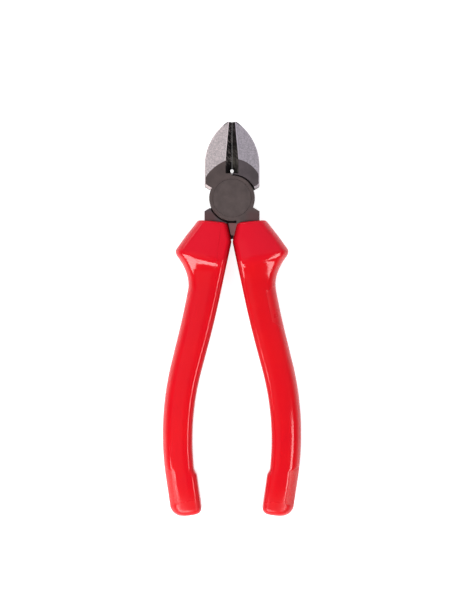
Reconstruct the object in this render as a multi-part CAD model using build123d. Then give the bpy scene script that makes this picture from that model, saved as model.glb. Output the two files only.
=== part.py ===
from build123d import *

import os
from math import asin, atan, cos, pi, radians, sin, sqrt, tan

# Diagonal cutting pliers of the 160 mm size: two forged halves in a lap joint, the rivet through
# them, and two moulded grips with a hand guard.
# Millimetres. +Y points to the jaw tips, +X to the right seen from the front, +Z out of the front face.
# The origin is on the pivot axis, at the back face of the joint. The jaws are closed.
# The front half carries the left jaw and the right handle. The back half is the same forging turned
# half a turn about the tool's long axis, so every piece is drawn once, on the front half.

# Lap joint
JOINT_THICKNESS = 10.0
DISC_RADIUS = 9.25
SHOULDER_GAP = 0.6
SHOULDER_GAP_SHIFT = (-0.2, -0.22)
LAP_GAP = 0.05
EDGE_BREAK = 0.3

# Rivet, with the same flush head on both faces
RIVET_SHANK_RADIUS = 4.0
RIVET_HEAD_RADIUS = 7.7
RIVET_RIM = 0.7
RIVET_HEAD_DEPTH = 2.4
RIVET_CLEARANCE = 0.04
RIVET_EDGE_BREAK = 0.12

# Jaws
JAW_LENGTH = 31.0
JAW_OVERHANG = 1.85
JAW_SIDE_TOP = 13.0
JAW_TIP_WIDTH = 1.9
JAW_TIP_THICKNESS = 4.8
JAW_SHOULDER_HEIGHT = 4.85
JAW_SHOULDER_DROP = 1.5
JAW_SHOULDER_BEVEL = 0.9
JAW_SIDE_BREAK = 0.4

# The two ground faces of a jaw: cones whose rims are circles on the flat of the forging.
# Each rim is set by its center and by how far above the jaw's shoulder it meets the outer side.
FRONT_GRIND_CENTER = (3.8, -0.9)
FRONT_GRIND_START = 2.85
BACK_GRIND_CENTER = (0.0, 3.7)
BACK_GRIND_START = 3.95

# Cutting edges
CUTTING_EDGE_GAP = 0.04
CUTTING_LAND = 0.3
BEVEL_HALF_ANGLE = 28.0
BEVEL_ROOT_WALL = 0.1
RELIEF_RADIUS = 0.75
RELIEF_POINT = 1.25

# Handle shoulder, and the lug between the handles. Each half has its lug in one layer of the joint.
SHOULDER_OVERHANG = 1.85
SHOULDER_TOP = 5.3
SHOULDER_RISE = 1.6
SHOULDER_BOTTOM = 14.0
LUG_TOP = 10.1
LUG_LENGTH = 4.9
LUG_CLEARANCE = 0.35
LUG_UNDERCUT = 2.2
LUG_TONGUE_LENGTH = 1.4
LUG_TONGUE_HEIGHT = 2.0
SHOULDER_INNER_END = 2.2
SHOULDER_INNER_STEP = 1.0
CROTCH_RELIEF = 1.75
CROTCH_DEPTH = 3.0

# Spine of the right handle: straight, a slight bend outwards, straight, the bend inwards, straight tail
SPINE_TOP = 9.6
HANDLE_ANGLE = 11.9
NECK_LENGTH = 34.0
OUTWARD_LENGTH = 14.0
OUTWARD_ANGLE = 2.4
MIDDLE_LENGTH = 12.0
INWARD_LENGTH = 45.0
INWARD_ANGLE = 22.4
TAIL_LENGTH = 15.8
HANDLES_MEET = 6.8
HANDLES_GAP = 0.4

# Tang inside the grip
TANG_WIDTH = 7.6
TANG_THICKNESS = 6.8
TANG_CHAMFER = 1.2
TANG_ROOT_WIDTH = 9.0
TANG_ROOT_STEP = 0.4
TANG_TAPER_START = 4.0
TANG_TAPER_LENGTH = 22.0
TANG_END_COVER = 9.0

# Grip
GRIP_WALL = 2.85
GRIP_FIT = 0.08
GRIP_CORNER = 4.0
GRIP_WAIST = 0.68
COLLAR_SIDE_WALL = 2.8
COLLAR_FACE_WALL = 1.3
COLLAR_CORNER = 3.2
COLLAR_TOP_TILT = 6.0
COLLAR_RELIEF = 1.95
GUARD_RIDGE = 15.7
GUARD_RIDGE_ROUND = 1.8
GUARD_LENGTH = 14.8
GUARD_SIDE = 8.7
GUARD_FACE = 1.7
GUARD_CORNER = 4.6
GUARD_SIDE_HOLLOW = 2.2
GUARD_FACE_HOLLOW = 4.6
HEEL_STEP = 0.9
HEEL_RAMP = 3.2
HEEL_LENGTH = 18.7
TAIL_ROUND = 2.6
TAIL_OUTER_ROUND = 5.0
TAIL_STEPS = 3
CORNER_SHARE = 0.45

MID = JOINT_THICKNESS / 2
CUT_RADIUS = DISC_RADIUS + SHOULDER_GAP
EDGE_X = CUTTING_EDGE_GAP / 2
JAW_HALF_WIDTH = DISC_RADIUS + JAW_OVERHANG
SHOULDER_HALF_WIDTH = DISC_RADIUS + SHOULDER_OVERHANG
BEVEL_ROOT = CUT_RADIUS + BEVEL_ROOT_WALL
HANDLE_RUNS = [
    (NECK_LENGTH, 0),
    (OUTWARD_LENGTH, OUTWARD_ANGLE),
    (MIDDLE_LENGTH, 0),
    (INWARD_LENGTH, -INWARD_ANGLE),
    (TAIL_LENGTH, 0),
]
SPINE_LENGTH = sum(length for length, turn in HANDLE_RUNS)
BEND_START = NECK_LENGTH + OUTWARD_LENGTH + MIDDLE_LENGTH
TANG_TAPER_END = TANG_TAPER_START + TANG_TAPER_LENGTH
TANG_END = SPINE_LENGTH - TANG_END_COVER
HEEL_START = SPINE_LENGTH - HEEL_LENGTH
GUARD_END = GUARD_RIDGE + GUARD_LENGTH
HANDLE_HALF_WIDTH = TANG_WIDTH / 2 + GRIP_WALL
HANDLE_HALF_THICKNESS = TANG_THICKNESS / 2 + GRIP_WALL
LEAN = radians(HANDLE_ANGLE)
SPINE_X = HANDLES_GAP / 2 + HANDLE_HALF_WIDTH * cos(LEAN) - HANDLES_MEET * sin(LEAN)
MEET_DEPTH = HANDLES_MEET * cos(LEAN) + HANDLE_HALF_WIDTH * sin(LEAN)
RELIEF_SLOPE = (COLLAR_RELIEF - HANDLES_GAP / 2) / MEET_DEPTH
LUG_BOTTOM = LUG_TOP + LUG_LENGTH
LAYER_BOTTOM = MID + LAP_GAP / 2
COLLAR_SIDE = (SHOULDER_HALF_WIDTH - SPINE_X) * cos(LEAN) + COLLAR_SIDE_WALL
COLLAR_FACE = MID + COLLAR_FACE_WALL
BEYOND = 3 * JAW_LENGTH


def spine(distance):
    """The point of the spine at a distance from its top, and its lean away from -Y."""
    x, y, lean = SPINE_X, -SPINE_TOP, LEAN
    for length, turn in HANDLE_RUNS:
        step = min(distance, length)
        bent = radians(turn) * step / length
        chord = step * sin(bent / 2) / (bent / 2) if bent else step
        x += chord * sin(lean + bent / 2)
        y -= chord * cos(lean + bent / 2)
        lean += bent
        distance -= step
    return Vector(x, y, MID), lean


def spine_path(start, end):
    """The spine between two distances from its top, as lines and arcs."""
    pieces = []
    run_start = 0
    for length, turn in HANDLE_RUNS:
        low, high = max(start, run_start), min(end, run_start + length)
        run_start += length
        if low < high:
            first, middle, last = [spine(at)[0] for at in (low, (low + high) / 2, high)]
            pieces.append(ThreePointArc(first, middle, last) if turn else Line(first, last))
    return Wire(pieces)


def across(distance):
    """The plane across the spine at a distance from its top: X outwards, Y to the front."""
    point, lean = spine(distance)
    return Plane(origin=point, x_dir=(cos(lean), sin(lean), 0), z_dir=(sin(lean), -cos(lean), 0))


def prism(points, low, high):
    """A straight block on an outline of (x, y) points, between two heights."""
    return extrude(Plane.XY.offset(low) * make_face(Polyline(*points, close=True)), high - low)


def disc(radius, low, high):
    """A cylinder on the pivot axis between two heights."""
    return extrude(Plane.XY.offset(low) * Circle(radius), high - low)


def turned(profile):
    """The solid of revolution about the pivot axis of a profile of (radius, height) points."""
    return revolve(Plane.XZ * make_face(Polyline(*profile, close=True)), Axis.Z)


def turned_over(piece):
    """The same piece on the other half: half a turn about the tool's long axis."""
    return piece.rotate(Axis((0, 0, MID), (0, 1, 0)), 180)


def jaw_blank():
    """The left jaw at full thickness, from the pivot axis to the tip, with its shoulder edges bevelled."""
    rise = JAW_LENGTH - JAW_SIDE_TOP
    run = JAW_HALF_WIDTH - JAW_TIP_WIDTH
    belly_radius = (rise**2 + run**2) / (2 * run)
    half_turn = atan(run / rise)
    belly_x = belly_radius * (1 - cos(half_turn)) - JAW_HALF_WIDTH
    belly_y = JAW_SIDE_TOP + belly_radius * sin(half_turn)
    drop = JAW_SHOULDER_HEIGHT - JAW_SHOULDER_DROP
    neck = sqrt(DISC_RADIUS**2 - drop**2)
    sides = Polyline(
        (-JAW_TIP_WIDTH, JAW_LENGTH),
        (-EDGE_X, JAW_LENGTH),
        (-EDGE_X, 0),
        (-neck, drop),
        (-JAW_HALF_WIDTH, JAW_SHOULDER_HEIGHT),
        (-JAW_HALF_WIDTH, JAW_SIDE_TOP),
    )
    belly = ThreePointArc((-JAW_HALF_WIDTH, JAW_SIDE_TOP), (belly_x, belly_y), (-JAW_TIP_WIDTH, JAW_LENGTH))
    blank = extrude(make_face([sides, belly]), JOINT_THICKNESS)
    shoulder_edges = blank.edges().filter_by(Plane.XY).filter_by(
        lambda e: e.center().X < -neck and e.center().Y < JAW_SHOULDER_HEIGHT
    )
    return chamfer(shoulder_edges, JAW_SHOULDER_BEVEL)


def grinding(center, start):
    """What the grinding takes off above a jaw's front flat: all that is over a cone."""
    radius = sqrt((JAW_HALF_WIDTH + center[0]) ** 2 + (JAW_SHOULDER_HEIGHT + start - center[1]) ** 2)
    to_tip = sqrt(center[0] ** 2 + (JAW_LENGTH - center[1]) ** 2)
    slope = (JOINT_THICKNESS - JAW_TIP_THICKNESS) / 2 / (to_tip - radius)
    far = (BEYOND, JOINT_THICKNESS - slope * (BEYOND - radius))
    over = 2 * JOINT_THICKNESS
    cone = turned([(radius, JOINT_THICKNESS), far, (BEYOND, over), (radius, over)])
    return Pos(center[0], center[1]) * cone


def bevel():
    """What is cut away in front of the cutting edge of the left jaw."""
    low = MID + CUTTING_LAND / 2
    high = JOINT_THICKNESS + 1
    slant = EDGE_X + (high - low) * tan(radians(BEVEL_HALF_ANGLE))
    profile = Polyline((-EDGE_X, low), (-slant, high), (1, high), (1, low), close=True)
    return Pos(0, BEVEL_ROOT) * extrude(Plane.XZ * make_face(profile), -JAW_LENGTH)


def relief_hole():
    """The drop-shaped hole through both jaws at the root of the cutting edges."""
    center = BEVEL_ROOT + RELIEF_POINT
    touch = asin(RELIEF_RADIUS / RELIEF_POINT)
    flank = (RELIEF_RADIUS * cos(touch), center - RELIEF_RADIUS * sin(touch))
    point = prism([(0, BEVEL_ROOT), flank, (-flank[0], flank[1])], -1, JOINT_THICKNESS + 1)
    return point + Pos(0, center) * disc(RELIEF_RADIUS, -1, JOINT_THICKNESS + 1)


def on_jaw_side(edge):
    """Whether an edge runs along the outer side of the left jaw, at its front or its back face."""
    middle = edge.center()
    on_face = abs(middle.Z - MID) > JAW_TIP_THICKNESS / 4 and edge.geom_type != GeomType.CIRCLE
    return on_face and middle.X < -JAW_TIP_WIDTH and middle.Y > JAW_SHOULDER_HEIGHT + JAW_SHOULDER_BEVEL


def jaw():
    """The finished left jaw."""
    shape = jaw_blank()
    shape -= grinding(FRONT_GRIND_CENTER, FRONT_GRIND_START)
    shape -= mirror(grinding(BACK_GRIND_CENTER, BACK_GRIND_START), Plane.XY.offset(MID))
    shape = chamfer(shape.edges().filter_by(on_jaw_side), JAW_SIDE_BREAK)
    shape -= bevel()
    shape -= mirror(bevel(), Plane.XY.offset(MID))
    return shape - relief_hole()


def relief_reach(y):
    """How far the slanting inner side of the right collar is from the tool's middle, at a height y."""
    return COLLAR_RELIEF + (y + SPINE_TOP) * RELIEF_SLOPE


def lug_half_width(depth):
    """Half the width of the lug, which stays clear of both collars, at a depth below the pivot."""
    return relief_reach(-depth) - LUG_CLEARANCE


def shoulder_outline(inner_side):
    """The right handle's flat shoulder, from a row of points on its inner side round to its outer side."""
    neck_drop = SHOULDER_TOP - SHOULDER_RISE
    neck = sqrt(DISC_RADIUS**2 - neck_drop**2)
    outer_side = [
        (SHOULDER_HALF_WIDTH, -SHOULDER_BOTTOM),
        (SHOULDER_HALF_WIDTH, -SHOULDER_TOP),
        (neck, -neck_drop),
        (neck / 2, -neck_drop),
    ]
    return make_face(Polyline(*inner_side, *outer_side, close=True))


def front_shoulder():
    """The shoulder's outline in the front layer, with the lug."""
    tip = lug_half_width(LUG_BOTTOM)
    inner_side = [
        (CROTCH_RELIEF, -DISC_RADIUS / 2),
        (CROTCH_RELIEF, -LUG_TOP),
        (-lug_half_width(LUG_TOP), -LUG_TOP),
        (-tip, -LUG_BOTTOM),
        (tip, -LUG_BOTTOM),
        (LUG_UNDERCUT, -LUG_BOTTOM - LUG_UNDERCUT),
    ]
    return shoulder_outline(inner_side)


def back_shoulder():
    """The shoulder's outline in the back layer, set back from the other half's lug."""
    set_back = SHOULDER_INNER_END + SHOULDER_INNER_STEP
    inner_side = [
        (SHOULDER_INNER_END, -DISC_RADIUS / 2),
        (SHOULDER_INNER_END, -LUG_TOP),
        (set_back, -LUG_TOP - SHOULDER_INNER_STEP),
        (set_back, -LUG_BOTTOM - LUG_UNDERCUT / 2),
    ]
    return shoulder_outline(inner_side)


def crotch_floor():
    """The floor of the small recess between the lap disc and the lug, in the front layer."""
    left, right = -lug_half_width(LUG_TOP), CROTCH_RELIEF
    sides = [(left, -DISC_RADIUS / 2), (right, -DISC_RADIUS / 2), (right, -LUG_TOP), (left, -LUG_TOP)]
    return prism(sides, LAYER_BOTTOM, JOINT_THICKNESS - CROTCH_DEPTH)


def lug_tongue():
    """The outline of the low tongue under the lug, from inside the right grip across the tool's middle."""
    root, tip = lug_half_width(LUG_BOTTOM), lug_half_width(LUG_BOTTOM + LUG_TONGUE_LENGTH)
    top, bottom = -LUG_BOTTOM, -LUG_BOTTOM - LUG_TONGUE_LENGTH
    corners = [(-root, top), (LUG_UNDERCUT, top), (LUG_UNDERCUT, bottom), (-tip, bottom)]
    return make_face(Polyline(*corners, close=True))


def tang_section(distance, width, thickness):
    """The tang's section: a rectangle with chamfered corners."""
    bar = Rectangle(width, thickness)
    return across(distance) * chamfer(bar.vertices(), TANG_CHAMFER)


def shoulder_layer(outline, low, high, grow):
    """One layer of the shoulder between two heights, with every face moved outwards by grow."""
    if grow:
        outline = offset(outline, grow, kind=Kind.INTERSECTION)
    return extrude(Plane.XY.offset(low - grow) * outline, high - low + 2 * grow)


def tang(grow):
    """The right handle's shoulder and tang, with every face moved outwards by grow."""
    plate = shoulder_layer(front_shoulder(), LAYER_BOTTOM, JOINT_THICKNESS, grow)
    plate += shoulder_layer(back_shoulder(), 0, LAYER_BOTTOM, grow)
    plate += shoulder_layer(lug_tongue(), LAYER_BOTTOM, MID + LUG_TONGUE_HEIGHT, grow)
    root_thickness = JOINT_THICKNESS - 2 * TANG_ROOT_STEP + 2 * grow
    root = tang_section(TANG_TAPER_START - grow, TANG_ROOT_WIDTH + 2 * grow, root_thickness)
    shank = tang_section(TANG_TAPER_END, TANG_WIDTH + 2 * grow, TANG_THICKNESS + 2 * grow)
    return plate + loft([root, shank], ruled=True) + sweep(shank, spine_path(TANG_TAPER_END, TANG_END + grow))


def rivet_profile(grow):
    """Half the section of the rivet, with every face moved outwards by grow."""
    shank = RIVET_SHANK_RADIUS + grow
    head = RIVET_HEAD_RADIUS + grow
    rim = RIVET_RIM + grow
    depth = RIVET_HEAD_DEPTH + grow
    low, high = -10 * grow, JOINT_THICKNESS + 10 * grow
    top = [(shank, JOINT_THICKNESS - depth), (head, JOINT_THICKNESS - rim), (head, high), (0, high)]
    return [(0, low), (head, low), (head, rim), (shank, depth)] + top


def pivot_rivet():
    """The rivet, with the rim of both heads broken."""
    body = turned(rivet_profile(0))
    rims = body.edges().filter_by(GeomType.CIRCLE).filter_by(
        lambda e: min(e.center().Z, JOINT_THICKNESS - e.center().Z) < RIVET_RIM / 2
    )
    return chamfer(rims, RIVET_EDGE_BREAK)


def forged_half():
    """The front half: left jaw, lap disc in the front layer, right shoulder and tang."""
    lap = disc(DISC_RADIUS, 0, JOINT_THICKNESS)
    lap = chamfer(lap.edges().filter_by(GeomType.CIRCLE), EDGE_BREAK)
    body = lap + jaw() + tang(0) + crotch_floor()
    body -= Pos(*SHOULDER_GAP_SHIFT) * disc(CUT_RADIUS, -1, LAYER_BOTTOM)
    return body - turned(rivet_profile(RIVET_CLEARANCE))


def guard_rise(distance, collar, ridge, hollow):
    """How far the grip stands proud of the plain handle: collar, rounded ridge, hollow flare."""

    def sharp(at):
        if at <= GUARD_RIDGE:
            return collar + (ridge - collar) * at / GUARD_RIDGE
        return ridge * max(1 - (at - GUARD_RIDGE) / GUARD_LENGTH, 0) ** hollow

    before = GUARD_RIDGE - GUARD_RIDGE_ROUND
    after = GUARD_RIDGE + GUARD_RIDGE_ROUND
    if not before < distance < after:
        return sharp(distance)
    share = (distance - before) / (after - before)
    corners = (1 - share) ** 2 * sharp(before) + share**2 * sharp(after)
    return corners + 2 * share * (1 - share) * sharp(GUARD_RIDGE)


def tail_inset(distance, radius):
    """How far a side of the grip draws in where the end of the tail is rounded."""
    past = min(max((distance - SPINE_LENGTH) / radius + 1, 0), 1)
    return radius * (1 - sqrt(1 - past**2))


def collar_inner(distance):
    """Reach from the spine to the slanting inner side of the collar, at a distance down the spine."""
    point, lean = spine(distance)
    return (point.X - relief_reach(point.Y)) / (cos(lean) - RELIEF_SLOPE * sin(lean))


def grip_section(distance):
    """The grip's section at a distance down the spine."""
    waist = GRIP_WAIST * max((distance - GUARD_END) / (HEEL_START - GUARD_END), 0)
    ramp = min(max((distance - HEEL_START) / HEEL_RAMP, 0), 1)
    heel = HEEL_STEP * ramp**2 * (3 - 2 * ramp)
    side = guard_rise(distance, COLLAR_SIDE - HANDLE_HALF_WIDTH, GUARD_SIDE, GUARD_SIDE_HOLLOW)
    face = guard_rise(distance, COLLAR_FACE - HANDLE_HALF_THICKNESS, GUARD_FACE, GUARD_FACE_HOLLOW)
    corner = GRIP_CORNER + (GUARD_CORNER - GRIP_CORNER) * min(max(face / GUARD_FACE, 0), 1)
    if distance < GUARD_RIDGE:
        corner = COLLAR_CORNER + (GUARD_CORNER - COLLAR_CORNER) * max(distance, 0) / GUARD_RIDGE
    inset = tail_inset(distance, TAIL_ROUND)
    inner = HANDLE_HALF_WIDTH - waist + heel - inset
    if distance < HANDLES_MEET:
        inner = collar_inner(distance)
    outer = HANDLE_HALF_WIDTH - waist + side - tail_inset(distance, TAIL_OUTER_ROUND)
    thickness = 2 * (HANDLE_HALF_THICKNESS + face - inset)
    largest_corner = CORNER_SHARE * min(inner + outer, thickness)
    outline = RectangleRounded(inner + outer, thickness, min(corner - inset / 2, largest_corner))
    return across(distance) * (Pos((outer - inner) / 2, 0) * outline)


def spread(start, end, count):
    """Evenly spaced distances from start up to, but not at, end."""
    return [start + (end - start) * step / count for step in range(count)]


def grip():
    """The right grip, with the tang's own shape left out of its inside."""
    round_start = GUARD_RIDGE - GUARD_RIDGE_ROUND
    round_end = GUARD_RIDGE + GUARD_RIDGE_ROUND
    heel_end = HEEL_START + HEEL_RAMP
    distances = [-2, HANDLES_MEET] + spread(round_start, round_end, 3)
    distances += spread(round_end, GUARD_END, 4) + spread(GUARD_END, BEND_START, 2)
    distances += spread(BEND_START, HEEL_START, 4)
    distances += [HEEL_START, heel_end]
    tail_turns = spread(0, pi / 2, TAIL_STEPS) + [pi / 2]
    distances += [SPINE_LENGTH - TAIL_OUTER_ROUND * (1 - sin(turn)) for turn in tail_turns]
    body = loft([grip_section(distance) for distance in distances], ruled=True)
    return body - top_waste() - tang(GRIP_FIT)


def top_waste():
    """What lies above the collar's slanting top face."""
    left, right = SPINE_X - BEYOND, SPINE_X + BEYOND
    rise = BEYOND * tan(radians(COLLAR_TOP_TILT))
    corners = [(left, -SPINE_TOP - rise), (right, -SPINE_TOP + rise), (right, BEYOND), (left, BEYOND)]
    return prism(corners, -BEYOND, BEYOND)


front_half = forged_half()
right_grip = grip()
nodes = {
    "front_half": front_half,
    "back_half": turned_over(front_half),
    "pivot_rivet": pivot_rivet(),
    "right_grip": right_grip,
    "left_grip": turned_over(right_grip),
}
os.makedirs("parts", exist_ok=True)
for name, piece in nodes.items():
    export_step(piece, f"parts/{name}.step")
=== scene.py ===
from math import cos, pi, radians, sin, sqrt, tan

import bpy
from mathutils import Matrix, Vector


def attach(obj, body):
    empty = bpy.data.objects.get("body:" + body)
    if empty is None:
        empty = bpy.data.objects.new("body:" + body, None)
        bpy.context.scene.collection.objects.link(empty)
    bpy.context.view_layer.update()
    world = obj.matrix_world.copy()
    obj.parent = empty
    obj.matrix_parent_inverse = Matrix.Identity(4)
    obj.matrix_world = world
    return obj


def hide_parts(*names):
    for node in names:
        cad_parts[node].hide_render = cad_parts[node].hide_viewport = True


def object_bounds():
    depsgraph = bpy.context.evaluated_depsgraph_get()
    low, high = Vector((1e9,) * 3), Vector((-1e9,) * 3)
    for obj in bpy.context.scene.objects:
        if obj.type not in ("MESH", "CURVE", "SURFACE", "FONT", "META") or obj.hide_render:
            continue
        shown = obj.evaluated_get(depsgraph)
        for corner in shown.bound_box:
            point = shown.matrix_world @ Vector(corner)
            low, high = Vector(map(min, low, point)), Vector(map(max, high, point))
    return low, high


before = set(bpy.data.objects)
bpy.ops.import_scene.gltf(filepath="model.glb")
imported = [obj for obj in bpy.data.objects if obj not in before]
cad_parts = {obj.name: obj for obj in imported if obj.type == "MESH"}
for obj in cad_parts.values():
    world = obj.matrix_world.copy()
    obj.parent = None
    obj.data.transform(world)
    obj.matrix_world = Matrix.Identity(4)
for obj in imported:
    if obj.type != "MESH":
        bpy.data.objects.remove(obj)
cad_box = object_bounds()

# Sizes are in millimetres, in the frame of the solids. They become metres when a mesh is made.
MM = 0.001

# Height of the tool's mid-plane, half the joint's thickness
MID = 5.0

# Spine of the right handle, as in the solids. Each run is (length, turn outwards in degrees).
LEAN = radians(11.9)
SPINE_TOP = 9.6
HANDLE_RUNS = [(34.0, 0.0), (14.0, 2.4), (12.0, 0.0), (45.0, -22.4), (15.8, 0.0)]
SPINE_LENGTH = sum(length for length, turn in HANDLE_RUNS)
HANDLE_HALF_WIDTH = 6.65
HANDLE_HALF_THICKNESS = 6.25
HANDLES_MEET = 6.8
HANDLES_GAP = 0.4
SPINE_X = HANDLES_GAP / 2 + HANDLE_HALF_WIDTH * cos(LEAN) - HANDLES_MEET * sin(LEAN)
MEET_DEPTH = HANDLES_MEET * cos(LEAN) + HANDLE_HALF_WIDTH * sin(LEAN)

# Grip, with the same lengths as the solid one
SHOULDER_HALF_WIDTH = 11.1
COLLAR_SIDE_WALL = 2.8
COLLAR_FACE_WALL = 1.3
COLLAR_SIDE = (SHOULDER_HALF_WIDTH - SPINE_X) * cos(LEAN) + COLLAR_SIDE_WALL
COLLAR_FACE = MID + COLLAR_FACE_WALL
COLLAR_TOP_TILT = radians(6.0)
COLLAR_TOP_REACH = 8.0
COLLAR_TOP_ROUND = 0.9
COLLAR_RELIEF = 1.95
RELIEF_SLOPE = (COLLAR_RELIEF - HANDLES_GAP / 2) / MEET_DEPTH
GRIP_WAIST = 0.68
GUARD_RIDGE = 15.7
GUARD_RIDGE_ROUND = 1.8
GUARD_LENGTH = 14.8
GUARD_END = GUARD_RIDGE + GUARD_LENGTH
GUARD_SIDE = 8.7
GUARD_FACE = 1.7
GUARD_SIDE_HOLLOW = 2.2
GUARD_FACE_HOLLOW = 4.6
HEEL_STEP = 0.9
HEEL_RAMP = 3.2
HEEL_LENGTH = 18.7
HEEL_START = SPINE_LENGTH - HEEL_LENGTH
TAIL_ROUND = 2.6
TAIL_OUTER_ROUND = 5.0

# Grip section: a round outer corner, a crowned face and a tighter inner corner, tangent to each other
OUTER_ROUND = 4.6
INNER_ROUND = 2.7
CROWN_OUTER_TILT = radians(12.0)
CROWN_INNER_TILT = radians(5.0)

# Spacing of the grip's rings, and points on each stretch of a ring
RING_STEP = 0.35
SIDE_POINTS = 4
CORNER_POINTS = 16
CROWN_POINTS = 14
END_RINGS = 12

# Anti-slip panels on the outer side: (start, end, reach across, slant of the start, slant of the end, grain)
# A grain of one also brings in the full painted pale sheen, and a grain of one half brings none
PANELS = [(26.9, 46.9, 2.0, 2.6, 5.2, 0.5), (98.6, 116.5, 1.8, 3.6, 1.2, 1.0)]
PANEL_DEPTH = 0.1
PANEL_EDGE = 0.22
PANEL_SIDE = HANDLE_HALF_WIDTH + 1.0
# The left grip's panels get less grain, less depth and less of the painted pale sheen, with a softer edge
LEFT_GRAIN_AND_SHEEN = 0.7
LEFT_PANEL_EDGE = 1.1

# Where the grip's finish and its painted shade change, as pairs of distances down the spine: from, to
# The collars above the guard ridge are painted a cooler, shaded crimson
COLLAR_SHADE_SPAN = (GUARD_RIDGE - 3.0, GUARD_RIDGE + 3.0)
TOP_EDGE = (0.3, 1.2)
CROTCH_SHADE = (8.0, 24.0)
MATT_TAIL = (109.0, 117.0)

# Mould line on one face of each collar: how far across at the top, slant, end, width and depth
MOULD_LINE = -0.9
MOULD_LINE_SLOPE = -0.089
MOULD_LINE_END = 18.5
MOULD_LINE_WIDTH = 0.16
MOULD_LINE_DEPTH = 0.08

# Cutting bevels of the solids: half the land between the edges, and the slope
CUTTING_LAND = 0.15
BEVEL_SLOPE = tan(radians(28.0))

# Bevels' finish: where the milling marks and the worn right edge come in, and where the bright line by the
# bevel ends, a polished edge with a painted highlight
MARKS_RISE = (12.0, 15.0)
MARKS_TURN = radians(42.0)
WORN_DROP = (22.0, 14.0)
WORN_REACH = 1.2
BRIGHT_EDGE_HIGHLIGHT = (0.25, 0.4)

# Forged halves' finish: where the jaws and the lug lie, and where the painted reddish bounce light on the
# shoulders comes in
DISC_RADIUS = 9.25
BEVEL_REACH = 3.5
JAW_BOTTOM = 6.5
JAW_CORNER_BOTTOM = 3.0
LUG_TOP = 10.1
LUG_REACH = 2.0
SHOULDER_REACH = (5.0, 7.5)
SHOULDER_DROP = (-4.0, -6.5)
DARK, GROUND, BEVEL, LUG = range(4)

# Waves of noise to a metre, in the finishes
CLOUDS = 45.0
SMUDGES = 130.0
RIPPLES = 380.0
GRAIN = 1800.0
STEEL_BLOTCHES = 170.0
RIVET_BLOTCHES = 230.0
PITS = 3800.0
STAINS = 120.0
SPECKS = 1700.0
GRINDING = (2600, 160, 160)
MILLING = (300, 1250, 300)
MILLING_PATCHES = 260.0
WEAR = 900.0
TURNING = 900.0

# Gloss of the grip: roughness clean and smudged, what matt tail and panel add, shine open and sheltered
GLOSS = (0.07, 0.13)
MATT = 0.22
PANEL_MATT = 0.4
SHINE = (0.5, 0.06)

# Depths of the relief that is only shaded
RIPPLE_DEPTH = 0.004
GRAIN_DEPTH = 0.09
STEEL_PIT_DEPTH = 0.02
RIVET_PIT_DEPTH = 0.015
GRINDING_DEPTH = 0.012
MILLING_DEPTH = 0.05
TURNING_DEPTH = 0.004

# Colours
RED = (0.88, 0.007, 0.013, 1)
RED_DEEP = (0.83, 0.004, 0.014, 1)
# Painted shade and cool reflection: the collars' cooler crimson, where they tilt away from the lamps
RED_COLLAR_SHADE = (0.87, 0.005, 0.021, 1)
RED_GRAIN = (0.78, 0.004, 0.014, 1)
# Painted sheen: a pale pink that stands in for light caught by the grain of the tail panel
RED_PANEL_SHEEN = (0.86, 0.095, 0.088, 1)
# Painted shade: the darker red of the grips' inner sides, and the near-black red of the crotch between them
RED_INNER_SHADE = (0.76, 0.003, 0.011, 1)
RED_CROTCH_SHADE = (0.34, 0.001, 0.004, 1)
FRONT_STEEL = (0.114, 0.083, 0.078)
BACK_STEEL = (0.108, 0.085, 0.091)
# Painted bounce light: red from the grips on the steel shoulders beside the collars
SHOULDER_RED_BOUNCE = (0.118, 0.060, 0.060, 1)
# Lug face: a mid grey steel with painted reddish bounce light from the grips around it
LUG_STEEL_RED_BOUNCE = (0.205, 0.088, 0.087)
RIVET_STEEL = (0.117, 0.087, 0.082)
# One ground finish, painted as a lit copy on the front half's jaw and a shaded copy on the back half's
FRONT_GROUND_LIT = (0.80, 0.69, 0.68)
BACK_GROUND_SHADED = (0.55, 0.49, 0.53)
BEVEL_DARK = (0.014, 0.011, 0.011, 1)
BEVEL_MARK = (0.25, 0.21, 0.20, 1)
BEVEL_WORN = (0.30, 0.28, 0.23, 1)

# Camera straight above, with the photograph's frame on the tool's mid-plane
FRAME_HEIGHT = 240.4
FRAME_CENTER = (0.0, -39.5)
CAMERA_DISTANCE = 700.0
NEAREST_SEEN = 10.0
SENSOR_HEIGHT = 24.0

# Grips: (side, name of the finished piece, node that it replaces, body that it rides on)
GRIPS = [
    (1, "grip_right", "right_grip", "front"),
    (-1, "grip_left", "left_grip", "back"),
]

# Studio, in metres and watts: each lamp is (name, place, size, power) and shines straight down
LAMPS = [
    ("left_glow", (-0.400, -0.050, 1.20), (0.70, 0.60), 0.22),
    ("left_box", (-0.500, -0.520, 0.60), (0.40, 0.56), 5.4),
    ("near_box", (-0.155, -0.600, 0.60), (0.27, 0.40), 2.6),
    ("right_strip", (0.427, -0.375, 0.70), (0.18, 0.50), 1.9),
    ("upper_fill", (-0.25, 0.75, 0.45), (1.2, 0.5), 3.8),
]
FLOOR_HALF = 3.0
FLOOR_ALBEDO = 0.8
FLOOR_LIFT = 0.77

# Light from all round: (axis of the direction, colour, from, to, strength at from, strength at to)
SKY = [
    ("Z", (1.0, 1.0, 1.0, 1), 0.0, 0.5, 0.9, 0.08),
    ("Y", (0.6, 0.7, 1.0, 1), 0.0, 0.3, 0.0, 0.2),
]


def clamp(value, low=0.0, high=1.0):
    return min(max(value, low), high)


def smooth(value):
    """A step from 0 to 1 with soft ends."""
    value = clamp(value)
    return value * value * (3 - 2 * value)


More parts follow.
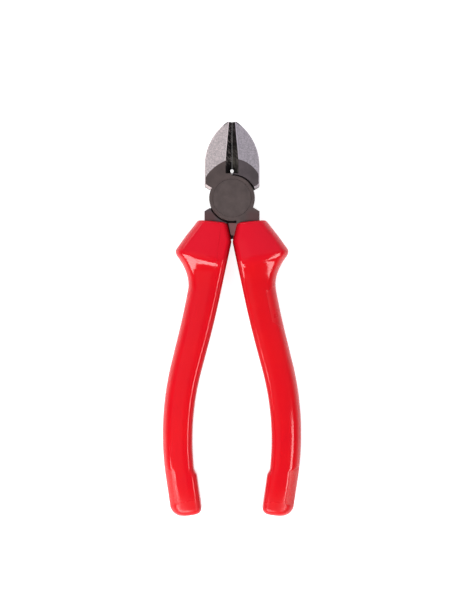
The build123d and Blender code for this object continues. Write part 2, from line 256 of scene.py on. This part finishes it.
def spine(distance):
    """The point of the right handle's spine at a distance from its top, and its lean away from -Y."""
    x, y, lean = SPINE_X, -SPINE_TOP, LEAN
    for length, turn in HANDLE_RUNS:
        step = min(distance, length)
        bent = radians(turn) * step / length
        chord = step * sin(bent / 2) / (bent / 2) if bent else step
        x += chord * sin(lean + bent / 2)
        y -= chord * cos(lean + bent / 2)
        lean += bent
        distance -= step
    return x, y, lean


def guard_rise(distance, collar, ridge, hollow):
    """How far the grip stands proud of the plain handle: collar, rounded ridge, hollow flare."""

    def sharp(at):
        if at <= GUARD_RIDGE:
            return collar + (ridge - collar) * at / GUARD_RIDGE
        return ridge * max(1 - (at - GUARD_RIDGE) / GUARD_LENGTH, 0) ** hollow

    before = GUARD_RIDGE - GUARD_RIDGE_ROUND
    after = GUARD_RIDGE + GUARD_RIDGE_ROUND
    if not before < distance < after:
        return sharp(distance)
    share = (distance - before) / (after - before)
    corners = (1 - share) ** 2 * sharp(before) + share**2 * sharp(after)
    return corners + 2 * share * (1 - share) * sharp(GUARD_RIDGE)


def end_inset(from_end, radius):
    """How far a side draws in, near an end that is rounded with a radius."""
    past = clamp(1 - from_end / radius)
    return radius * (1 - sqrt(1 - past**2))


def relief_reach(y):
    """How far the slanting inner side of the right collar is from the tool's middle, at a height y."""
    return COLLAR_RELIEF + (y + SPINE_TOP) * RELIEF_SLOPE


def collar_inner(distance):
    """Reach from the spine to the slanting inner side of the collar, at a distance down the spine."""
    x, y, lean = spine(distance)
    return (x - relief_reach(y)) / (cos(lean) - RELIEF_SLOPE * sin(lean))


def grip_sizes(distance):
    """Reach to the grip's inner and outer side, and its half thickness, at a distance down the spine."""
    waist = GRIP_WAIST * max((distance - GUARD_END) / (HEEL_START - GUARD_END), 0)
    heel = HEEL_STEP * smooth((distance - HEEL_START) / HEEL_RAMP)
    side = guard_rise(distance, COLLAR_SIDE - HANDLE_HALF_WIDTH, GUARD_SIDE, GUARD_SIDE_HOLLOW)
    face = guard_rise(distance, COLLAR_FACE - HANDLE_HALF_THICKNESS, GUARD_FACE, GUARD_FACE_HOLLOW)
    half_width = HANDLE_HALF_WIDTH - waist
    inner = collar_inner(distance) if distance < HANDLES_MEET else half_width + heel
    top = end_inset(distance, COLLAR_TOP_ROUND)
    tail = top + end_inset(SPINE_LENGTH - distance, TAIL_ROUND)
    outer_tail = top + end_inset(SPINE_LENGTH - distance, TAIL_OUTER_ROUND)
    return inner - tail, half_width + side - outer_tail, HANDLE_HALF_THICKNESS + face - tail


def section(inner, outer, half_thickness):
    """Points round a section as (across, up, angle of the normal), from the outer side over the front."""
    shrink = clamp(half_thickness / HANDLE_HALF_THICKNESS)
    outer_radius, inner_radius = OUTER_ROUND * shrink, INNER_ROUND * shrink
    crown_start, crown_end = pi / 2 - CROWN_OUTER_TILT, pi / 2 + CROWN_INNER_TILT
    corners_width = outer_radius * (1 - cos(crown_start)) + inner_radius * (1 + cos(crown_end))
    crown_radius = (inner + outer - corners_width) / (cos(crown_start) - cos(crown_end))
    crown_up = half_thickness - crown_radius
    outer_across = outer - outer_radius
    outer_up = crown_up + (crown_radius - outer_radius) * sin(crown_start)
    crown_across = outer_across + (outer_radius - crown_radius) * cos(crown_start)
    inner_across = inner_radius - inner
    inner_up = crown_up + (crown_radius - inner_radius) * sin(crown_end)
    arcs = [
        (outer_across, outer_up, outer_radius, 0, crown_start, CORNER_POINTS),
        (crown_across, crown_up, crown_radius, crown_start, crown_end, CROWN_POINTS),
        (inner_across, inner_up, inner_radius, crown_end, pi, CORNER_POINTS),
    ]
    half = [(outer, outer_up * (step + 0.5) / SIDE_POINTS, 0.0) for step in range(SIDE_POINTS)]
    for across, up, radius, start, end, count in arcs:
        for step in range(count):
            angle = start + (end - start) * step / count
            half.append((across + radius * cos(angle), up + radius * sin(angle), angle))
    half += [(-inner, inner_up * (1 - (step + 0.5) / SIDE_POINTS), pi) for step in range(SIDE_POINTS)]
    return half + [(across, -up, -angle) for across, up, angle in reversed(half)]


def panel_mask(distance, across, edge):
    """How much of an anti-slip panel's grain a point has, from 0 to 1, for a width of the panel's edge."""
    mask = 0.0
    for start, end, reach, start_slant, end_slant, grain in PANELS:
        ends = clamp(1 - (distance - start) / start_slant), clamp(1 - (end - distance) / end_slant)
        bound = reach + (PANEL_SIDE - reach) * max(ends)
        if start < distance < end:
            mask = max(mask, grain * smooth((across - bound) / edge))
    return mask


def ring_distances():
    """Distances down the spine of the grip's rings, closer together at both rounded ends."""
    turns = [step / END_RINGS * pi / 2 for step in range(END_RINGS)]
    distances = [COLLAR_TOP_ROUND * (1 - cos(turn)) for turn in turns]
    length = SPINE_LENGTH - TAIL_OUTER_ROUND - COLLAR_TOP_ROUND
    count = round(length / RING_STEP)
    distances += [COLLAR_TOP_ROUND + length * step / count for step in range(count)]
    return distances + [SPINE_LENGTH - TAIL_OUTER_ROUND * (1 - sin(turn)) for turn in turns + [pi / 2]]


def grip_point(distance, across, up):
    """A point of the right grip in the frame of the solids, with the collar's slanting top and relief."""
    top_slant = across * tan(LEAN - COLLAR_TOP_TILT) * clamp(1 - distance / COLLAR_TOP_REACH)
    x, y, lean = spine(distance + top_slant)
    x += across * cos(lean)
    y += across * sin(lean)
    low, high = [[size / MM for size in corner] for corner in cad_box]
    return clamp(x, relief_reach(y), high[0]), max(y, low[1]), clamp(MID + up, low[2], high[2])


def grip_mesh(name, side):
    """A grip as rings of points down the spine, capped at both ends. Side is 1 for right, -1 for left."""
    points, masks, alongs, acrosses, ups, inners = [], [], [], [], [], []
    # The left grip's panels get less grain, less depth and less of the painted pale sheen
    grain_and_sheen, edge = (1.0, PANEL_EDGE) if side > 0 else (LEFT_GRAIN_AND_SHEEN, LEFT_PANEL_EDGE)

    def add(distance, across, up, mask, angle):
        x, y, z = grip_point(distance, across, up)
        points.append((side * x * MM, y * MM, z * MM))
        masks.append(mask)
        alongs.append(distance)
        acrosses.append(across)
        ups.append(-side * up)
        inners.append(clamp(abs(angle) / (pi / 2) - 1))

    distances = ring_distances()
    for distance in distances:
        for across, up, angle in section(*grip_sizes(distance)):
            mask = grain_and_sheen * panel_mask(distance, across, edge)
            sunk = PANEL_DEPTH * mask
            add(distance, across - sunk * cos(angle), up - sunk * sin(angle), mask, angle)
    around = len(points) // len(distances)
    faces = []
    for ring in range(len(distances) - 1):
        for spot in range(around):
            after = (spot + 1) % around
            low, high = ring * around, (ring + 1) * around
            faces.append((low + spot, low + after, high + after, high + spot))
    faces.append(tuple(reversed(range(around))))
    faces.append(tuple(range(len(points) - around, len(points))))
    if side > 0:
        faces = [face[::-1] for face in faces]
    mesh = bpy.data.meshes.new(name)
    mesh.from_pydata(points, [], faces)
    labels = {"panel": masks, "along": alongs, "across": acrosses, "lined_side": ups, "inner_side": inners}
    for label, values in labels.items():
        mesh.attributes.new(label, "FLOAT", "POINT").data.foreach_set("value", values)
    mesh.shade_smooth()
    grip = bpy.data.objects.new(name, mesh)
    bpy.context.scene.collection.objects.link(grip)
    return grip


class Shader:
    """A material's node tree, with short calls to add nodes and link them."""

    def __init__(self, name):
        self.material = bpy.data.materials.new(name)
        self.material.use_nodes = True
        self.tree = self.material.node_tree
        self.surface = self.tree.nodes["Principled BSDF"]

    def add(self, kind, values=(), **settings):
        node = self.tree.nodes.new(kind)
        for setting, value in settings.items():
            setattr(node, setting, value)
        for socket, value in dict(values).items():
            self.put(node.inputs[socket], value)
        return node

    def put(self, socket, value):
        if isinstance(value, bpy.types.NodeSocket):
            self.tree.links.new(value, socket)
        else:
            socket.default_value = value

    def set(self, **values):
        for name, value in values.items():
            self.put(self.surface.inputs[name.replace("_", " ")], value)

    def place(self, scale=(1, 1, 1), turn=(0, 0, 0)):
        """Object coordinates, turned and then stretched."""
        coordinates = self.add("ShaderNodeTexCoord").outputs["Object"]
        turned = self.add("ShaderNodeMapping", {"Vector": coordinates, "Rotation": turn})
        return self.add("ShaderNodeMapping", {"Vector": turned.outputs[0], "Scale": scale}).outputs[0]

    def millimetres(self):
        """Object coordinates in millimetres, as three values."""
        scaled = self.place((1 / MM, 1 / MM, 1 / MM))
        return self.add("ShaderNodeSeparateXYZ", {"Vector": scaled}).outputs

    def noise(self, vector, scale, detail=4.0, roughness=0.55):
        values = {"Vector": vector, "Scale": scale, "Detail": detail, "Roughness": roughness}
        return self.add("ShaderNodeTexNoise", values).outputs["Fac"]

    def attribute(self, name):
        return self.add("ShaderNodeAttribute", attribute_name=name).outputs["Fac"]

    def math(self, operation, first, second=0.0, third=0.0):
        node = self.add("ShaderNodeMath", operation=operation)
        for socket, value in zip(node.inputs, (first, second, third)):
            self.put(socket, value)
        return node.outputs[0]

    def spread(self, value, low, high, start=0.0, end=1.0):
        """Maps a value from low..high to start..end, clamped."""
        ranges = {"Value": value, "From Min": low, "From Max": high, "To Min": start, "To Max": end}
        return self.add("ShaderNodeMapRange", ranges).outputs[0]

    def blend(self, share, first, second):
        """A colour between two colours. The node's sockets 6 and 7, and its output 2, are the colours."""
        node = self.add("ShaderNodeMix", data_type="RGBA")
        for socket, value in zip((0, 6, 7), (share, first, second)):
            self.put(node.inputs[socket], value)
        return node.outputs[2]

    def bump(self, height, depth, normal=None):
        values = {"Height": height, "Distance": depth * MM, "Strength": 1.0}
        if normal:
            values["Normal"] = normal
        return self.add("ShaderNodeBump", values).outputs[0]


def mould_line(shader):
    """1 on the fine line that the mould leaves along one face of a collar, and 0 elsewhere."""
    along = shader.attribute("along")
    line_across = shader.math("MULTIPLY_ADD", along, MOULD_LINE_SLOPE, MOULD_LINE)
    from_line = shader.math("ABSOLUTE", shader.math("SUBTRACT", shader.attribute("across"), line_across))
    on_line = shader.spread(from_line, 0.0, MOULD_LINE_WIDTH, 1.0, 0.0)
    on_collar = shader.math("LESS_THAN", along, MOULD_LINE_END)
    on_face = shader.math("GREATER_THAN", shader.attribute("lined_side"), 0.0)
    return shader.math("MULTIPLY", on_line, shader.math("MULTIPLY", on_collar, on_face))


def grip_material():
    """Glossy red moulded plastic: anti-slip panels with a painted pale sheen on the tail one, a mould line,
    a painted cooler shade on the collars, and painted shade with less shine on the inner sides and in the
    crotch.
    """
    shader = Shader("red_grip")
    panel = shader.attribute("panel")
    along = shader.attribute("along")
    inner = shader.attribute("inner_side")
    line = mould_line(shader)
    coordinates = shader.place()
    cloud = shader.noise(coordinates, CLOUDS, 3.0)
    smudge = shader.noise(coordinates, SMUDGES, 4.0, 0.6)
    ripple = shader.noise(coordinates, RIPPLES, 2.0)
    grain = shader.noise(coordinates, GRAIN, 2.0)

    red = shader.blend(shader.spread(cloud, 0.35, 0.65), RED_DEEP, RED)
    # Painted shade and cool reflection: the collars above the ridge turn a cooler crimson
    red = shader.blend(shader.spread(along, *COLLAR_SHADE_SPAN), RED_COLLAR_SHADE, red)
    red = shader.blend(shader.math("MULTIPLY", panel, shader.spread(grain, 0.42, 0.6)), red, RED_GRAIN)
    # Painted sheen: where a panel's grain goes past one half, its grain speckles turn pale pink, most of all
    # on the right grip's tail panel
    speckle = shader.spread(grain, 0.4, 0.6, 0.2, 1.0)
    panel_sheen = shader.math("MULTIPLY", shader.spread(panel, 0.5, 1.0), speckle)
    red = shader.blend(panel_sheen, red, RED_PANEL_SHEEN)
    red = shader.blend(shader.math("MULTIPLY", line, 0.5), red, RED_GRAIN)
    # Painted shade: the grips' inner sides darken, down to near black in the crotch between the collars
    crotch = shader.spread(along, *CROTCH_SHADE, 1.0, 0.0)
    red = shader.blend(shader.spread(inner, 0.15, 0.7), red, shader.blend(crotch, RED_INNER_SHADE, RED_CROTCH_SHADE))

    sheltered = shader.math("MULTIPLY", shader.spread(inner, 0.05, 0.3), crotch)
    sheltered = shader.math("MAXIMUM", sheltered, shader.spread(along, *TOP_EDGE, 1.0, 0.0))
    shine = shader.spread(sheltered, 0.0, 1.0, *SHINE)
    gloss = shader.spread(smudge, 0.35, 0.7, *GLOSS)
    matt = shader.spread(along, *MATT_TAIL, 0.0, MATT)
    roughness = shader.math("ADD", gloss, matt)
    roughness = shader.math("ADD", roughness, shader.math("MULTIPLY", panel, PANEL_MATT))

    normal = shader.bump(ripple, RIPPLE_DEPTH)
    normal = shader.bump(shader.math("MULTIPLY", panel, grain), GRAIN_DEPTH, normal)
    normal = shader.bump(shader.math("MULTIPLY", line, -1.0), MOULD_LINE_DEPTH, normal)
    shader.set(Base_Color=red, Roughness=roughness, Specular_IOR_Level=shine, Normal=normal)
    return shader.material


def toned(tint, factor):
    """A colour darker or lighter than a tint, with full alpha."""
    return tuple(factor * part for part in tint) + (1,)


def dark_steel_material(name, tint):
    """Dark phosphated forging: blotchy, finely pitted, slightly glossy, with painted reddish bounce light
    from the grips on the shoulders.
    """
    shader = Shader(name)
    x, y, z = shader.millimetres()
    coordinates = shader.place()
    blotch = shader.noise(coordinates, STEEL_BLOTCHES, 5.0, 0.6)
    pits = shader.noise(coordinates, PITS, 3.0)
    dark, light = toned(tint, 0.75), toned(tint, 1.25)
    colour = shader.blend(shader.spread(blotch, 0.3, 0.7), dark, light)
    # Painted bounce light: the shoulders beside the collars are tinted red
    aside = shader.spread(shader.math("ABSOLUTE", x), *SHOULDER_REACH)
    shoulder_bounce = shader.math("MULTIPLY", aside, shader.spread(y, *SHOULDER_DROP))
    colour = shader.blend(shoulder_bounce, colour, SHOULDER_RED_BOUNCE)
    roughness = shader.spread(blotch, 0.3, 0.7, 0.52, 0.42)
    normal = shader.bump(pits, STEEL_PIT_DEPTH)
    shader.set(Base_Color=colour, Roughness=roughness, Metallic=0.3, Normal=normal)
    return shader.material


def from_bevel(shader):
    """Millimetres from the edge between a jaw's bevel and its face, across the jaw."""
    x, y, z = shader.millimetres()
    height = shader.math("ABSOLUTE", shader.math("SUBTRACT", z, MID))
    bevel = shader.math("MULTIPLY", shader.math("SUBTRACT", height, CUTTING_LAND), BEVEL_SLOPE)
    return shader.math("SUBTRACT", shader.math("ABSOLUTE", x), bevel)


def ground_steel_material(name, tint):
    """Bright ground steel: fine marks along the grinding, faint stains, and by the bevel a bright line, a
    polished edge with a painted highlight.
    """
    shader = Shader(name)
    marks = shader.noise(shader.place(GRINDING), 1.0, 4.0)
    stain = shader.noise(shader.place(), STAINS, 5.0, 0.62)
    speck = shader.noise(shader.place(), SPECKS, 3.0, 0.6)
    bright, stained = toned(tint, 1.2), toned(tint, 0.58)
    colour = shader.blend(shader.spread(stain, 0.35, 0.7, 0.0, 0.3), bright, stained)
    colour = shader.blend(shader.spread(marks, 0.35, 0.65, 0.0, 0.3), colour, stained)
    colour = shader.blend(shader.spread(speck, 0.4, 0.6, 0.0, 0.7), colour, stained)
    # Painted highlight: a bright line along the edge by the bevel, partly a polished edge
    colour = shader.blend(shader.spread(from_bevel(shader), *BRIGHT_EDGE_HIGHLIGHT, 1.0, 0.0), colour, bright)
    roughness = shader.spread(marks, 0.3, 0.7, 0.42, 0.56)
    normal = shader.bump(marks, GRINDING_DEPTH)
    shader.set(Base_Color=colour, Roughness=roughness, Metallic=0.4, Normal=normal)
    return shader.material


def bevel_steel_material():
    """Dark cutting bevels with slanting milling marks, most on the left, and a worn lower right edge."""
    shader = Shader("bevel_steel")
    x, y, z = shader.millimetres()
    marks = shader.noise(shader.place(MILLING, (0, 0, MARKS_TURN)), 1.0, 2.0)
    patches = shader.noise(shader.place(), MILLING_PATCHES, 3.0)
    rubbed = shader.noise(shader.place((1, 0.5, 1)), WEAR, 3.0)
    shown = shader.math("MULTIPLY", shader.spread(marks, 0.5, 0.56), shader.spread(patches, 0.35, 0.5))
    shown = shader.math("MULTIPLY", shown, shader.spread(x, -0.4, 0.4, 1.0, 0.3))
    shown = shader.math("MULTIPLY", shown, shader.spread(y, *MARKS_RISE))
    worn = shader.math("MULTIPLY", shader.spread(y, *WORN_DROP), shader.spread(rubbed, 0.35, 0.6))
    worn = shader.math("MULTIPLY", worn, shader.spread(x, 0.0, WORN_REACH, 1.0, 0.2))
    worn = shader.math("MULTIPLY", worn, shader.math("GREATER_THAN", x, 0.0))
    colour = shader.blend(shown, BEVEL_DARK, BEVEL_MARK)
    colour = shader.blend(worn, colour, BEVEL_WORN)
    normal = shader.bump(marks, MILLING_DEPTH)
    shader.set(Base_Color=colour, Roughness=0.5, Specular_IOR_Level=0.25, Normal=normal)
    return shader.material


def rivet_material():
    """Dark rivet, faced flush with the joint, with faint turning marks."""
    shader = Shader("rivet_steel")
    coordinates = shader.place()
    blotch = shader.noise(coordinates, RIVET_BLOTCHES, 5.0, 0.6)
    pits = shader.noise(coordinates, PITS, 3.0)
    rings = shader.add(
        "ShaderNodeTexWave",
        {"Vector": coordinates, "Scale": TURNING, "Distortion": 3.0, "Detail": 2.0},
        wave_type="RINGS",
        rings_direction="Z",
    ).outputs["Fac"]
    dark, light = toned(RIVET_STEEL, 0.78), toned(RIVET_STEEL, 1.22)
    colour = shader.blend(shader.spread(blotch, 0.3, 0.7), dark, light)
    normal = shader.bump(rings, TURNING_DEPTH, shader.bump(pits, RIVET_PIT_DEPTH))
    shader.set(Base_Color=colour, Roughness=0.48, Metallic=0.3, Normal=normal)
    return shader.material


def steel_kind(center, normal):
    """Which finish a face of a forged half has, from its center in millimetres and its normal."""
    aside = abs(center.x)
    upright = abs(normal.z)
    on_jaw = sqrt(center.x**2 + center.y**2) > DISC_RADIUS
    if center.y > DISC_RADIUS and aside < BEVEL_REACH and 0.3 < upright < 0.7:
        return BEVEL
    if on_jaw and center.y > JAW_BOTTOM and 0.6 < upright < 0.999:
        return GROUND
    if on_jaw and JAW_CORNER_BOTTOM < center.y <= JAW_BOTTOM and 0.5 < upright < 0.9:
        return GROUND
    if center.y < -LUG_TOP and aside < LUG_REACH and upright > 0.9:
        return LUG
    return DARK


def dress_half(node, materials):
    """Gives each face of a forged half its finish, with materials in the order of the kinds."""
    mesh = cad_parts[node].data
    mesh.materials.clear()
    for material in materials:
        mesh.materials.append(material)
    for face in mesh.polygons:
        face.material_index = steel_kind(face.center / MM, face.normal)


def dress_node(node, material):
    """Gives a whole solid one finish."""
    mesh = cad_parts[node].data
    mesh.materials.clear()
    mesh.materials.append(material)


def floor_material():
    """White floor that keeps the shadow: lit as a surface, and lifted to white where seen or mirrored."""
    shader = Shader("white_floor")
    path = shader.add("ShaderNodeLightPath").outputs
    seen = shader.math("MAXIMUM", path["Is Camera Ray"], path["Is Glossy Ray"])
    seen = shader.math("MAXIMUM", seen, path["Is Transmission Ray"])
    white = (FLOOR_ALBEDO, FLOOR_ALBEDO, FLOOR_ALBEDO, 1)
    shader.set(Base_Color=white, Roughness=0.9, Specular_IOR_Level=0.0)
    shader.set(Emission_Color=(1, 1, 1, 1), Emission_Strength=shader.math("MULTIPLY", seen, FLOOR_LIFT))
    return shader.material


def make_floor():
    low = cad_box[0][2]
    corners = [(x * FLOOR_HALF, y * FLOOR_HALF, low) for x, y in ((-1, -1), (1, -1), (1, 1), (-1, 1))]
    mesh = bpy.data.meshes.new("floor")
    mesh.from_pydata(corners, [], [(0, 1, 2, 3)])
    mesh.materials.append(floor_material())
    floor = bpy.data.objects.new("floor", mesh)
    bpy.context.scene.collection.objects.link(floor)


def make_lamp(name, place, size, power):
    """A rectangular soft lamp that shines straight down."""
    lamp = bpy.data.lights.new(name, "AREA")
    lamp.shape = "RECTANGLE"
    lamp.size, lamp.size_y = size
    lamp.energy = power
    light = bpy.data.objects.new(name, lamp)
    light.location = place
    bpy.context.scene.collection.objects.link(light)


def make_world():
    """White walls all round, darker overhead, with a cool glow from beyond the jaws."""
    world = bpy.data.worlds.new("studio")
    world.use_nodes = True
    tree = world.node_tree
    direction = tree.nodes.new("ShaderNodeTexCoord").outputs["Generated"]
    parts = tree.nodes.new("ShaderNodeSeparateXYZ")
    tree.links.new(direction, parts.inputs[0])
    both = tree.nodes.new("ShaderNodeAddShader")
    tree.links.new(both.outputs[0], tree.nodes["World Output"].inputs["Surface"])
    for slot, (axis, colour, low, high, start, end) in enumerate(SKY):
        strength = tree.nodes.new("ShaderNodeMapRange")
        for socket, value in zip(("From Min", "From Max", "To Min", "To Max"), (low, high, start, end)):
            strength.inputs[socket].default_value = value
        background = tree.nodes.new("ShaderNodeBackground")
        background.inputs["Color"].default_value = colour
        tree.links.new(parts.outputs[axis], strength.inputs["Value"])
        tree.links.new(strength.outputs[0], background.inputs["Strength"])
        tree.links.new(background.outputs[0], both.inputs[slot])
    bpy.context.scene.world = world


def make_camera():
    camera = bpy.data.cameras.new("camera")
    camera.sensor_fit = "VERTICAL"
    camera.sensor_height = SENSOR_HEIGHT
    camera.lens = SENSOR_HEIGHT * CAMERA_DISTANCE / FRAME_HEIGHT
    camera.clip_start = NEAREST_SEEN * MM
    viewer = bpy.data.objects.new("camera", camera)
    viewer.location = (FRAME_CENTER[0] * MM, FRAME_CENTER[1] * MM, (MID + CAMERA_DISTANCE) * MM)
    bpy.context.scene.collection.objects.link(viewer)
    bpy.context.scene.camera = viewer


def dress():
    """Puts the finished grips in place of the plain ones, and the finishes on the steel."""
    red = grip_material()
    for side, name, node, body in GRIPS:
        grip = grip_mesh(name, side)
        grip.data.materials.append(red)
        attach(grip, body)
        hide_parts(node)
    bevel = bevel_steel_material()
    # The lug's face gets a mid grey with painted reddish bounce light from the grips
    lug = dark_steel_material("lug_steel_red_bounce", LUG_STEEL_RED_BOUNCE)
    # The two halves' ground steel are painted lit and shaded copies of one finish
    for half, dark, bright in (("front", FRONT_STEEL, FRONT_GROUND_LIT), ("back", BACK_STEEL, BACK_GROUND_SHADED)):
        body = dark_steel_material(f"dark_steel_{half}", dark)
        ground = ground_steel_material(f"ground_steel_{half}", bright)
        dress_half(f"{half}_half", [body, ground, bevel, lug])
    dress_node("pivot_rivet", rivet_material())


dress()
make_floor()
make_world()
for lamp in LAMPS:
    make_lamp(*lamp)
make_camera()
bpy.context.scene.view_settings.view_transform = "Standard"
